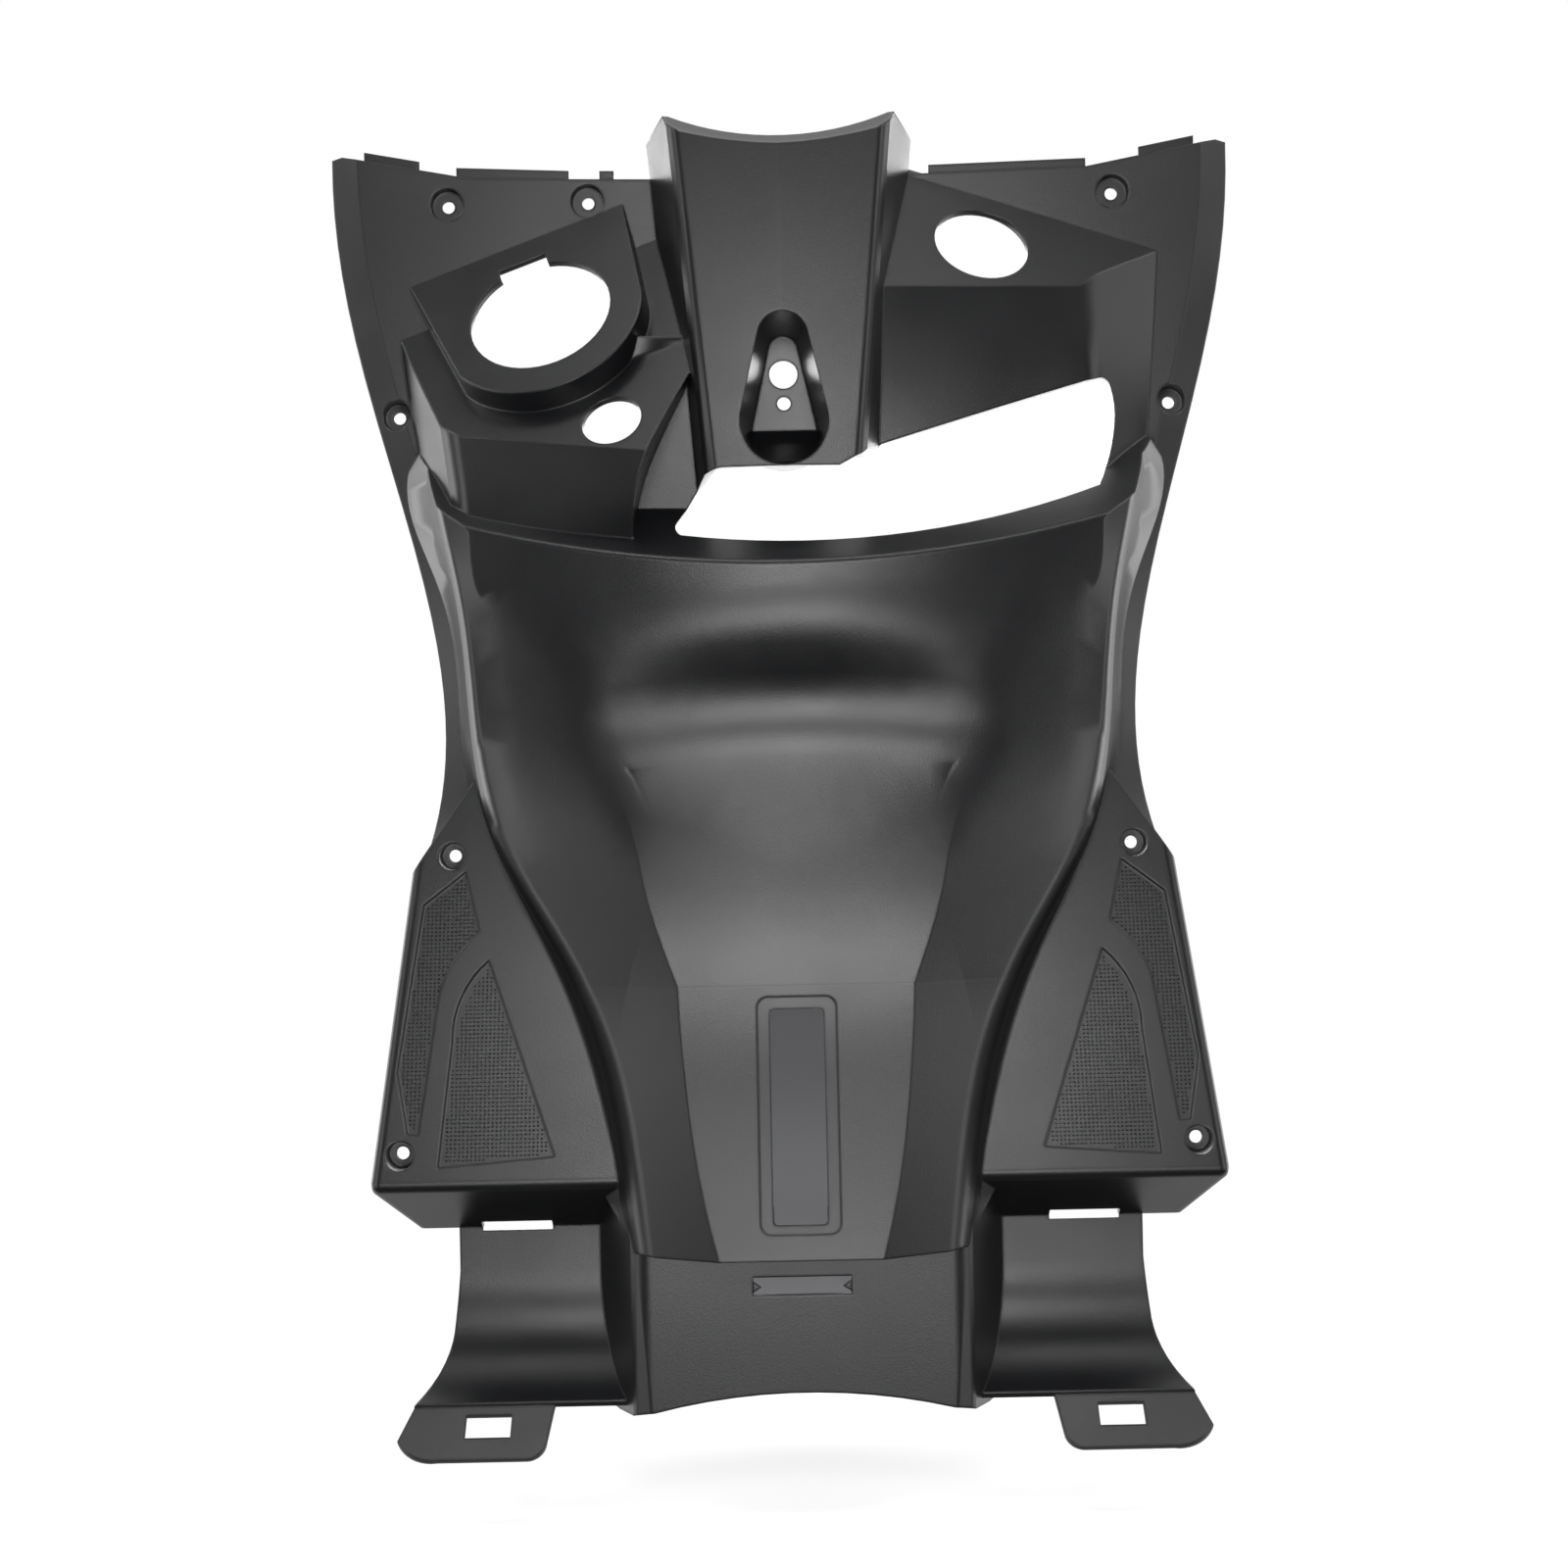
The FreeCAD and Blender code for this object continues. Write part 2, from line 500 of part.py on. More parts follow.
for name, x, y, z, radius in SCREWS:
    cups.append(eight_sided(f"{name}_cup", x, y, f"{z} - well_floor", f"{radius} + wall * 0.8", 160))
    wells.append(post(f"{name}_well", x, y, z, radius, 160))
    wells.append(post(f"{name}_hole", x, y, f"{z} - 40", "well_hole_r", 80))


# Key recess: a drafted teardrop cup let into the column cover, with two holes in its floor.
def teardrop(name, grow, z):
    lean = "asin((key_lower_r - key_upper_r) / (key_upper_y - key_lower_y))"
    upper, lower = f"(key_upper_r + {grow})", f"(key_lower_r + {grow})"
    return outline(name, [
        (f"{lower} * cos({lean})", f"key_lower_y + {lower} * sin({lean})"),
        (f"{upper} * cos({lean})", f"key_upper_y + {upper} * sin({lean})", upper),
        (f"-{upper} * cos({lean})", f"key_upper_y + {upper} * sin({lean})"),
        (f"-{lower} * cos({lean})", f"key_lower_y + {lower} * sin({lean})", lower),
        ("0", f"key_lower_y - {lower}", lower),
    ], flat(z))


key_cup = prism("key_cup", teardrop("key_cup_outline", "wall", "key_floor_z - wall"), 80, 0, "key_draft")
key_recess = prism("key_recess", teardrop("key_recess_outline", "0", "key_floor_z"), 80, 0, "key_draft")
key_pocket = meet("key_pocket", key_recess, ahead_of("over_ledge", 0, "key_ledge_y", "key_floor_z", 0, "-key_ledge_tilt"))
cups.append(key_cup)
linings = meet("linings", fuse("cups", cups), solid_form)


# Tray openings, square to their tilted planes.
def tray_hole(name, x, y, z, yaw, u, v, radius):
    return prism(name, disc(f"{name}_outline", u, v, radius, seat(x, y, z, yaw, "-tray_tilt")), 30, 30)


filler = ("filler_x", "filler_y", "filler_z", "filler_yaw")
filler_hole = tray_hole("filler_hole", *filler, 0, 0, "filler_r")
filler_notch = prism("filler_notch_cut", outline("filler_notch_outline", [
    ("-filler_notch", 0), ("filler_notch", 0), ("filler_notch", "filler_r + filler_notch_depth"),
    ("-filler_notch", "filler_r + filler_notch_depth"),
], seat(*filler, "-tray_tilt")), 30, 30)
cap_hole = tray_hole("cap_hole", *filler, "cap_u", "cap_v", "cap_r")
right_hole = tray_hole("right_hole", "right_tray_x", "right_tray_y", "right_tray_z", "right_tray_yaw",
                       0, 0, "right_tray_r")

# Glove box opening, from the lip up to the bays and the foot of the column.
door = prism("door", outline("door_outline", [
    ("door_left + 2", "door_foot_y", "door_foot_r"), ("door_corner_x", "door_corner_y", 80),
    ("door_right", "door_top_y - 17", 40), ("door_right - 2.5", "door_top_y - 2", 4),
    ("door_right - 8", "door_top_y"), ("door_shelf_x", "door_shelf_y"),
    ("door_column_x + 11", "door_column_y + 6"), ("door_column_x", "door_column_y"),
    ("-door_column_x - 2", "door_column_y", 18), ("-door_column_x - 16", "door_column_y - 6"),
    ("door_left", "door_foot_y + 7", 5),
], flat(-60)), 200)

# Frame number window: a shallow framed recess along the tunnel with an opening in its floor.
plate_tilt = "atan((rim_z - bend_z) / (bend_y - rim_y + 8))"
plate_drop = f"bend_z - plate_frame_depth / cos({plate_tilt})"


def plate_outline(name, half, top, foot, corner, placement, lean):
    head, base = f"(({top} - bend_y) / cos({lean}))", f"(({foot} - bend_y) / cos({lean}))"
    return outline(name, [
        (f"-{half} + {corner}", base), (f"{half} - {corner}", base, corner), (half, f"{base} + {corner}"),
        (half, f"{head} - {corner}", corner), (f"{half} - {corner}", head), (f"-{half} + {corner}", head, corner),
        (f"-{half}", f"{head} - {corner}"), (f"-{half}", f"{base} + {corner}", corner),
    ], placement)


plate_seat = seat(0, "bend_y", plate_drop, 0, f"-{plate_tilt}")
plate_frame = prism("plate_frame", plate_outline(
    "plate_frame_outline", "plate_frame_half", "plate_frame_top", "plate_frame_foot", 5, plate_seat, plate_tilt), 20)
plate_window = prism("plate_window", plate_outline(
    "plate_window_outline", "plate_half", "plate_top", "plate_foot", 2, plate_seat, plate_tilt), 20, 32)


def block(name, x, y, z, length, width, height):
    solid = doc.addObject("Part::Box", name)
    for side, value in (("Length", length), ("Width", width), ("Height", height)):
        solid.setExpression(side, bound(value))
    solid.setExpression("Placement", seat(x, y, z, 0, 0))
    return solid


# Apron: a cove on each side of a boxed centre, closing the panel below the platforms.
cove_end_y = "cove_y - {r} * sin(cove_turn)"
cove_end_z = "cove_z + cove_r - {r} * cos(cove_turn)"
front_r, rear_r = "cove_r", "(cove_r + wall)"
cove = prism("cove", outline("cove_profile", [
    ("apron_top_y", "cove_z"), ("apron_top_y", "cove_z - wall"), ("cove_y", "cove_z - wall", f"-{rear_r}"),
    (cove_end_y.format(r=rear_r), cove_end_z.format(r=rear_r)),
    (cove_end_y.format(r=front_r), cove_end_z.format(r=front_r), front_r), ("cove_y", "cove_z"),
], along(-200)), 400)
apron_plan = prism("apron_plan", outline("apron_plan_outline", [
    ("-apron_end_half", -300), ("apron_end_half", -300), ("apron_end_half", "cove_y - 54", -40),
    ("apron_mid_half", "apron_mid_y"), ("apron_top_half", "cove_y"), ("apron_top_half", "apron_top_y + 2"),
    ("-apron_top_half", "apron_top_y + 2"), ("-apron_top_half", "cove_y"), ("-apron_mid_half", "apron_mid_y", -40),
    ("-apron_end_half", "cove_y - 54"),
], flat(0)), 200)
coves = meet("coves", cove, apron_plan)


def box(kind, inset):
    sections = []
    for end in ("top", "end"):
        past = f"box_{end}_y" if end == "top" else f"box_end_y - {inset}"
        points = [
            (f"-box_root + {inset}", f"back_sole - {inset}"), (f"box_root - {inset}", f"back_sole - {inset}"),
            (f"box_half + box_ease * 0.4 - {inset}", f"box_z - box_ease - {inset} * 0.5"),
            (f"box_half - box_ease - {inset} * 0.5", f"box_z - {inset}"),
            (f"-box_half + box_ease + {inset} * 0.5", f"box_z - {inset}"),
            (f"-box_half - box_ease * 0.4 + {inset}", f"box_z - box_ease - {inset} * 0.5"),
        ]
        sections.append(outline(f"box_{kind}_{end}", points, across(past)))
    return loft(f"box_{kind}", sections, True)


box_outer, box_cavity = box("outer", "0"), box("cavity", "wall")
arch = prism("arch", disc("arch_outline", 0, "arch_y - arch_r", "arch_r", flat(0)), 200)
box_arched = cut("box_arched", box_outer, arch)
tab_place = seat(0, cove_end_y.format(r="(cove_r + tab_step)"), cove_end_z.format(r="(cove_r + tab_step)"),
                 0, "-lip_tilt")
tab = prism("tab", outline("tab_plan", [
    ("tab_inner", 3), ("tab_inner + 3", "-tab_length + 8", 9), ("tab_inner + 11", "-tab_length"),
    ("tab_outer - 12", "-tab_length", 18), ("tab_outer + tab_flare", "-tab_length + 10"), ("tab_outer", 3),
], tab_place), 0, "wall")
tab_slot = prism("tab_slot", outline("tab_slot_plan", [
    ("tab_slot_x - tab_slot_half", "-tab_slot_from"), ("tab_slot_x - tab_slot_half", "-tab_slot_to"),
    ("tab_slot_x + tab_slot_half", "-tab_slot_to"), ("tab_slot_x + tab_slot_half", "-tab_slot_from"),
], tab_place), 20, 20)
tab_right = cut("tab_right", tab, tab_slot)
tab_left = mirrored("tab_left", tab_right)

# Clip tongues behind the top edge, which hook under the headset cover.
TONGUES = [("far_left", -203, -176), ("left", -158, -103), ("near_left", -88, -81), ("right", 73, 150),
           ("far_right", 176, 203)]
tongues = []
for name, start, end in TONGUES:
    heights = []
    for x in (end, start):
        slope = "(edge_dip_y - edge_root_y) / edge_dip_x"
        line = f"edge_root_y + {slope} * {abs(x)}"
        if abs(x) > 150:
            line = f"edge_dip_y + (edge_step_y - edge_dip_y) / (top_rim - 15 - edge_dip_x) * ({abs(x)} - edge_dip_x)"
        heights.append(f"{line} + tongue_rise")
    plan = outline(f"tongue_{name}_plan", [
        (start, "edge_root_y - 14"), (end, "edge_root_y - 14"), (end, heights[0]), (start, heights[1]),
    ], flat("-wall - 2"))
    tongues.append(prism(f"tongue_{name}", plan, 2.4))

skirt = fuse("skirt", [trimmed, linings, cut("coves_open", coves, box_outer), box_arched, tab_right, tab_left] + tongues)
# Foot pads: two shallow recesses in each platform, sunk square to its face.
PAD_INNER = [
    ("foot_corner_x - 52.8", "foot_corner_y + 102.2", -48),
    ("foot_corner_x - 36.5", "foot_corner_y + 65.7"),
    ("foot_corner_x - 31.3", "foot_corner_y + 9.7"),
    ("foot_corner_x - 84.9", "foot_corner_y + 13.6"),
]
PAD_OUTER = [
    ("foot_corner_x - 41.0", "foot_corner_y + 143.5"),
    ("foot_corner_x - 48.3", "foot_corner_y + 115.3", -50),
    ("foot_corner_x - 29.0", "foot_corner_y + 80.2"),
    ("foot_corner_x - 22.0", "foot_corner_y + 24.0"),
    ("foot_corner_x - 17.0", "foot_corner_y + 24.5"),
    ("foot_corner_x - 11.3", "foot_corner_y + 52.0"),
    ("foot_corner_x - 21.3", "foot_corner_y + 128.2"),
]


def pad(name, corners):
    seat_line = seat(0, "foot_apex_y", "foot_apex_z", 0, "-foot_tilt")
    points = [(x, f"({y} - foot_apex_y) / cos(foot_tilt)", *bend) for x, y, *bend in corners]
    return prism(name, outline(f"{name}_outline", points, seat_line), 6, "pad_depth")


inner_pad = pad("inner_pad", PAD_INNER)
outer_pad = pad("outer_pad", PAD_OUTER)
pads = [inner_pad, outer_pad, mirrored("inner_pad_twin", inner_pad), mirrored("outer_pad_twin", outer_pad)]
slot_right = block("sole_slot_right", "sole_slot_x - sole_slot_half", "sole_y - sole_slot_high + 3", 20,
                   "sole_slot_half * 2", "sole_slot_high", 30)
openings = fuse("openings", [
    box_cavity, filler_hole, filler_notch, cap_hole, right_hole, door, plate_frame, plate_window, key_pocket,
    post("key_hole", 0, "key_y", 0, "key_r", 60), post("key_small_hole", 0, "key_small_y", 0, "key_small_r", 60),
    block("clip_slot", "-clip_half", "clip_y - clip_high / 2", "box_z - 20", "clip_half * 2", "clip_high", 40),
    slot_right, mirrored("sole_slot_left", slot_right),
] + wells + pads)
panel = cut("inner_panel", skirt, openings)
panel.setExpression("Placement", seat(0, "key_floor_z", "-key_y", 0, 90))
doc.recompute()

for each in doc.Objects:
    if "Invalid" in each.State or "Error" in each.State:
        raise RuntimeError(f"{each.Name}: {each.State}")
if panel.Shape.isNull() or not panel.Shape.isValid() or len(panel.Shape.Solids) != 1:
    raise RuntimeError(f"the panel is not one sound solid: {len(panel.Shape.Solids)}")
os.makedirs("parts", exist_ok=True)
panel.Label = "inner_panel"
panel.Shape.exportStep("parts/inner_panel.step")
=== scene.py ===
import math

import bpy
import numpy as np
from mathutils import Matrix, Vector


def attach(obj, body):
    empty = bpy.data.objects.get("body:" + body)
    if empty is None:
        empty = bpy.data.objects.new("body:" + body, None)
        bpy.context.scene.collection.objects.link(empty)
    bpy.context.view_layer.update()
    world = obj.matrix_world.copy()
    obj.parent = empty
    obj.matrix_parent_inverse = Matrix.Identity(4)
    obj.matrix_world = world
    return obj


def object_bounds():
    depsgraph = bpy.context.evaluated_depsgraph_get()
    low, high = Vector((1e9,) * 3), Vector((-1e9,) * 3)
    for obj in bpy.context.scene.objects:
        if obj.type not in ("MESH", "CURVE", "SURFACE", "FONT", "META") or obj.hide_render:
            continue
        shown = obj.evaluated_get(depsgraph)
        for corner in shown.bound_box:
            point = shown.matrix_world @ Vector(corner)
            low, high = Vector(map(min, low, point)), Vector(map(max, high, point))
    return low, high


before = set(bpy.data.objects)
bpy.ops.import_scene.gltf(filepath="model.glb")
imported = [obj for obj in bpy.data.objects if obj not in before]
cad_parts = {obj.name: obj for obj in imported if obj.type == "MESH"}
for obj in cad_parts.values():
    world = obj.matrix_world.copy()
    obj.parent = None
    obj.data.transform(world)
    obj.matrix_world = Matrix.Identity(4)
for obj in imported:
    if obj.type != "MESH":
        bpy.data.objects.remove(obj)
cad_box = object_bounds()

# The shell: one injection-moulded panel in black polypropylene, about 3 mm thick.
# The corners between its faces are narrow strips that shade as one soft round from face to face.
# Nine screws in wells, five tongues along the top and the tabs at the foot hold it to the scooter.
STRIP_AREA, GENTLE_TURN, LONG_SIDE = 0.0055, math.cos(math.radians(42)), 0.22
STEPS_PER_METRE = 1e5
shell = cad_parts["inner_panel"]
solid = shell.data
count = len(solid.vertices)
places = np.empty(count * 3)
solid.vertices.foreach_get("co", places)
places = places.reshape(-1, 3)
corner_at = np.empty(len(solid.loops), int)
solid.loops.foreach_get("vertex_index", corner_at)
corner_facing = np.empty(len(solid.loops) * 3)
solid.corner_normals.foreach_get("vector", corner_facing)
facing = np.zeros((count, 3))
facing[corner_at] = corner_facing.reshape(-1, 3)
ends = np.empty(len(solid.edges) * 2, int)
solid.edges.foreach_get("vertices", ends)
ends = ends.reshape(-1, 2)
face_of = np.arange(count)
while (face_of[ends[:, 0]] != face_of[ends[:, 1]]).any():
    lower = face_of[ends].min(axis=1)
    np.minimum.at(face_of, ends[:, 0], lower)
    np.minimum.at(face_of, ends[:, 1], lower)
    face_of = face_of[face_of]
area = np.zeros(count)
for facet in solid.polygons:
    area[face_of[facet.vertices[0]]] += facet.area
meeting = {}
for vertex, key in enumerate(map(tuple, np.round(places * STEPS_PER_METRE).astype(int))):
    meeting.setdefault(key, []).append(vertex)
border, shared = {}, {}
for vertices in meeting.values():
    for one in vertices:
        border[face_of[one]] = border.get(face_of[one], 0) + (len(vertices) > 1)
        for other in vertices:
            pair = (face_of[one], face_of[other])
            shared[pair] = shared.get(pair, 0) + (one != other)
softened = facing.copy()
for vertices in meeting.values():
    for one in vertices:
        strip = face_of[one]
        if area[strip] > STRIP_AREA:
            continue
        widest = area[strip]
        for other in vertices:
            face = face_of[other]
            if (area[face] > widest and facing[one] @ facing[other] > GENTLE_TURN
                    and shared[strip, face] > LONG_SIDE * border[strip]):
                widest = area[face]
                softened[one] = facing[other]

# The brow of the tunnel runs into the ramp and the flanks without an edge, as the tool was cut.
# Its facings are averaged over about 13 mm, and less and less toward the ramp.
BROW_LOW, BROW_HIGH, BROW_HALF, BROW_MARGIN = -0.235, -0.105, 0.145, 0.03
BROW_BLUR, BROW_FADE, BROW_SPLITS = 0.013, 0.035, 4
TO_THE_FRONT, ALIKE = -0.3, 0.68
spots, spot_facing, spot_weight = [], [], []
for facet in solid.polygons:
    middle = facet.center
    if (BROW_LOW - BROW_MARGIN < middle.z < BROW_HIGH and abs(middle.x) < BROW_HALF + BROW_MARGIN
            and facet.normal.y < TO_THE_FRONT):
        corners = [np.array(solid.vertices[v].co) for v in facet.vertices]
        for u in range(BROW_SPLITS):
            for v in range(BROW_SPLITS - u):
                share = np.array(((u + 1 / 3) / BROW_SPLITS, (v + 1 / 3) / BROW_SPLITS))
                spots.append(corners[0] * (1 - share.sum()) + corners[1] * share[0] + corners[2] * share[1])
                spot_facing.append(np.array(facet.normal))
                spot_weight.append(facet.area)
spots, spot_facing, spot_weight = np.array(spots), np.array(spot_facing), np.array(spot_weight)
for vertex, (x, y, z) in enumerate(places):
    if BROW_LOW < z < BROW_HIGH and abs(x) < BROW_HALF and facing[vertex][1] < TO_THE_FRONT:
        gap = np.linalg.norm(spots - (x, y, z), axis=1)
        weight = spot_weight * np.exp(-(gap / BROW_BLUR) ** 2) * (spot_facing @ facing[vertex] > ALIKE)
        if weight.sum() > 0:
            blurred = (spot_facing * weight[:, None]).sum(axis=0)
            share = min(1.0, (z - BROW_LOW) / BROW_FADE)
            blend = blurred / np.linalg.norm(blurred) * share + softened[vertex] * (1 - share)
            softened[vertex] = blend / np.linalg.norm(blend)

# A hidden copy of the shell carries these facings, and the shell takes them over corner by corner.
guide = solid.copy()
guide.normals_split_custom_set_from_vertices([tuple(n) for n in softened])
shading_guide = bpy.data.objects.new("corner_shading_guide", guide)
bpy.context.scene.collection.objects.link(shading_guide)
shading_guide.hide_render = True
shading_guide.hide_viewport = True
rounding = shell.modifiers.new("soft_corners", "DATA_TRANSFER")
rounding.object = shading_guide
rounding.use_loop_data = True
rounding.data_types_loops = {"CUSTOM_NORMAL"}
rounding.loop_mapping = "TOPOLOGY"

# Fine tool grain of the moulding: pits with a slow wave under them for the bump, and a patchy gloss from handling.
GRAIN_SIZE, WAVE_SIZE, WAVE_SHARE, PATCH_SIZE = 1400.0, 26.0, 0.4, 22.0
grain = bpy.data.node_groups.new("tool_grain", "ShaderNodeTree")
grain.interface.new_socket("Grain Size", in_out="INPUT", socket_type="NodeSocketFloat").default_value = GRAIN_SIZE
grain.interface.new_socket("Height", in_out="OUTPUT", socket_type="NodeSocketFloat")
grain.interface.new_socket("Gloss Patches", in_out="OUTPUT", socket_type="NodeSocketFloat")
add, link = grain.nodes.new, grain.links.new
entry, leave = add("NodeGroupInput"), add("NodeGroupOutput")
place = add("ShaderNodeTexCoord")
pits = add("ShaderNodeTexNoise")
pits.inputs["Detail"].default_value = 3.0
pits.inputs["Roughness"].default_value = 0.6
sinks = add("ShaderNodeTexNoise")
sinks.inputs["Scale"].default_value = WAVE_SIZE
sinks.inputs["Detail"].default_value = 1.0
depth = add("ShaderNodeMath")
depth.operation = "MULTIPLY_ADD"
depth.inputs[1].default_value = WAVE_SHARE
handling = add("ShaderNodeTexNoise")
handling.inputs["Scale"].default_value = PATCH_SIZE
handling.inputs["Detail"].default_value = 4.0
link(place.outputs["Object"], pits.inputs["Vector"])
link(entry.outputs["Grain Size"], pits.inputs["Scale"])
link(place.outputs["Object"], sinks.inputs["Vector"])
link(place.outputs["Object"], handling.inputs["Vector"])
link(sinks.outputs["Fac"], depth.inputs[0])
link(pits.outputs["Fac"], depth.inputs[2])
link(depth.outputs["Value"], leave.inputs["Height"])
link(handling.outputs["Fac"], leave.inputs["Gloss Patches"])

# The bend across the tunnel's ramp is a long soft curve: this height takes its crest down over 45 mm either way.
CREST_BELOW_KEY, BEND_REACH, BEND_STARTS, BEND_FULL = 0.2848, 0.045, -0.03, -0.055
bend = bpy.data.node_groups.new("soft_bend", "ShaderNodeTree")
bend.interface.new_socket("Height", in_out="OUTPUT", socket_type="NodeSocketFloat")
add, link = bend.nodes.new, bend.links.new
leave = add("NodeGroupOutput")
place = add("ShaderNodeTexCoord")
axes = add("ShaderNodeSeparateXYZ")
from_crest = add("ShaderNodeMath")
from_crest.operation = "ADD"
from_crest.inputs[1].default_value = CREST_BELOW_KEY
away = add("ShaderNodeMath")
away.operation = "ABSOLUTE"
near = add("ShaderNodeMapRange")
near.inputs["From Min"].default_value = 0.0
near.inputs["From Max"].default_value = BEND_REACH
near.inputs["To Min"].default_value = 1.0
near.inputs["To Max"].default_value = 0.0
square = add("ShaderNodeMath")
square.operation = "POWER"
square.inputs[1].default_value = 2.0
forward = add("ShaderNodeMapRange")
forward.inputs["From Min"].default_value = BEND_STARTS
forward.inputs["From Max"].default_value = BEND_FULL
lowered = add("ShaderNodeMath")
lowered.operation = "MULTIPLY"
sunk = add("ShaderNodeMath")
sunk.operation = "MULTIPLY"
sunk.inputs[1].default_value = -1.0
link(place.outputs["Object"], axes.inputs["Vector"])
link(axes.outputs["Z"], from_crest.inputs[0])
link(from_crest.outputs["Value"], away.inputs[0])
link(away.outputs["Value"], near.inputs["Value"])
link(near.outputs["Result"], square.inputs[0])
link(axes.outputs["Y"], forward.inputs["Value"])
link(square.outputs["Value"], lowered.inputs[0])
link(forward.outputs["Result"], lowered.inputs[1])
link(lowered.outputs["Value"], sunk.inputs[0])
link(sunk.outputs["Value"], leave.inputs["Height"])

# The plastic itself: black right through and satin from the tool.
# Its edges are broken by about a millimetre and a half.
BLACK, DARKER, LIGHTER = (0.0052, 0.0054, 0.0062), 0.88, 1.14
SATIN_LOW, SATIN_HIGH = 0.3, 0.36
EDGE_RADIUS, BEND_DEPTH, GRAIN_DEPTH, GRAIN_STRENGTH = 0.0016, 0.0018, 0.0002, 0.32
black_plastic = bpy.data.materials.new("black_plastic")
black_plastic.use_nodes = True
add, link = black_plastic.node_tree.nodes.new, black_plastic.node_tree.links.new
surface = black_plastic.node_tree.nodes["Principled BSDF"]
surface.inputs["Specular IOR Level"].default_value = 0.45
tint = add("ShaderNodeMix")
tint.data_type = "RGBA"
tint.inputs["A"].default_value = (*[c * DARKER for c in BLACK], 1)
tint.inputs["B"].default_value = (*[c * LIGHTER for c in BLACK], 1)
texture = add("ShaderNodeGroup")
texture.node_tree = grain
texture.inputs["Grain Size"].default_value = GRAIN_SIZE
gloss = add("ShaderNodeMapRange")
gloss.inputs["From Min"].default_value = 0.3
gloss.inputs["From Max"].default_value = 0.7
gloss.inputs["To Min"].default_value = SATIN_LOW
gloss.inputs["To Max"].default_value = SATIN_HIGH
corner = add("ShaderNodeBevel")
corner.samples = 6
corner.inputs["Radius"].default_value = EDGE_RADIUS
curve = add("ShaderNodeGroup")
curve.node_tree = bend
bending = add("ShaderNodeBump")
bending.inputs["Strength"].default_value = 1.0
bending.inputs["Distance"].default_value = BEND_DEPTH
pitting = add("ShaderNodeBump")
pitting.inputs["Strength"].default_value = GRAIN_STRENGTH
pitting.inputs["Distance"].default_value = GRAIN_DEPTH
link(texture.outputs["Gloss Patches"], tint.inputs["Factor"])
link(tint.outputs["Result"], surface.inputs["Base Color"])
link(texture.outputs["Gloss Patches"], gloss.inputs["Value"])
link(gloss.outputs["Result"], surface.inputs["Roughness"])
link(curve.outputs["Height"], bending.inputs["Height"])
link(corner.outputs["Normal"], bending.inputs["Normal"])
link(texture.outputs["Height"], pitting.inputs["Height"])
link(bending.outputs["Normal"], pitting.inputs["Normal"])
link(pitting.outputs["Normal"], surface.inputs["Normal"])
shell.data.materials.clear()
shell.data.materials.append(black_plastic)

# Foot pads: rows of small studs stand on the sunk pads of both platforms, for grip under the heels.
# They are moulded with the panel in the same plastic, a little under 2 mm apart.
# Sizes are in millimetres, across from the centre line and up from a level 194.8 mm under the key hole.
KEY_FLOOR, KEY_HEIGHT = 30.0, 194.8
FOOT_TILT, FOOT_FRONT, FOOT_LEVEL = math.radians(18), 14, 8
PAD_DEPTH, PAD_INNER, PAD_TOP, PAD_COLUMNS, PAD_ROWS = 1.2, 105, -30, 45, 82
STUD_PITCH, STUD_BASE, STUD_TOP, STUD_HEIGHT, STUD_ROOT, STUD_MARGIN, STUD_SIDES = 1.9, 0.62, 0.34, 0.5, 0.05, 1.6, 6
INNER_PAD = [(144.2, -79.8), (152.0, -90.5), (157.5, -102.5), (160.5, -116.3), (165.7, -172.3), (112.1, -168.4)]
OUTER_PAD = [(156.0, -38.5), (148.7, -66.7), (157.8, -76.0), (164.5, -88.0), (168.0, -101.8), (175.0, -158.0),
             (180.0, -157.5), (185.7, -130.0), (175.7, -53.8)]


def clear_inside(x, y, corners, margin):
    from_edges = []
    inside = False
    for (ax, ay), (bx, by) in zip(corners, corners[1:] + corners[:1]):
        if (ay > y) != (by > y) and x < ax + (bx - ax) * (y - ay) / (by - ay):
            inside = not inside
        along = Vector((bx - ax, by - ay))
        share = max(0.0, min(1.0, (Vector((x - ax, y - ay)) @ along) / along.length_squared))
        from_edges.append((Vector((x - ax, y - ay)) - along * share).length)
    return inside and min(from_edges) > margin


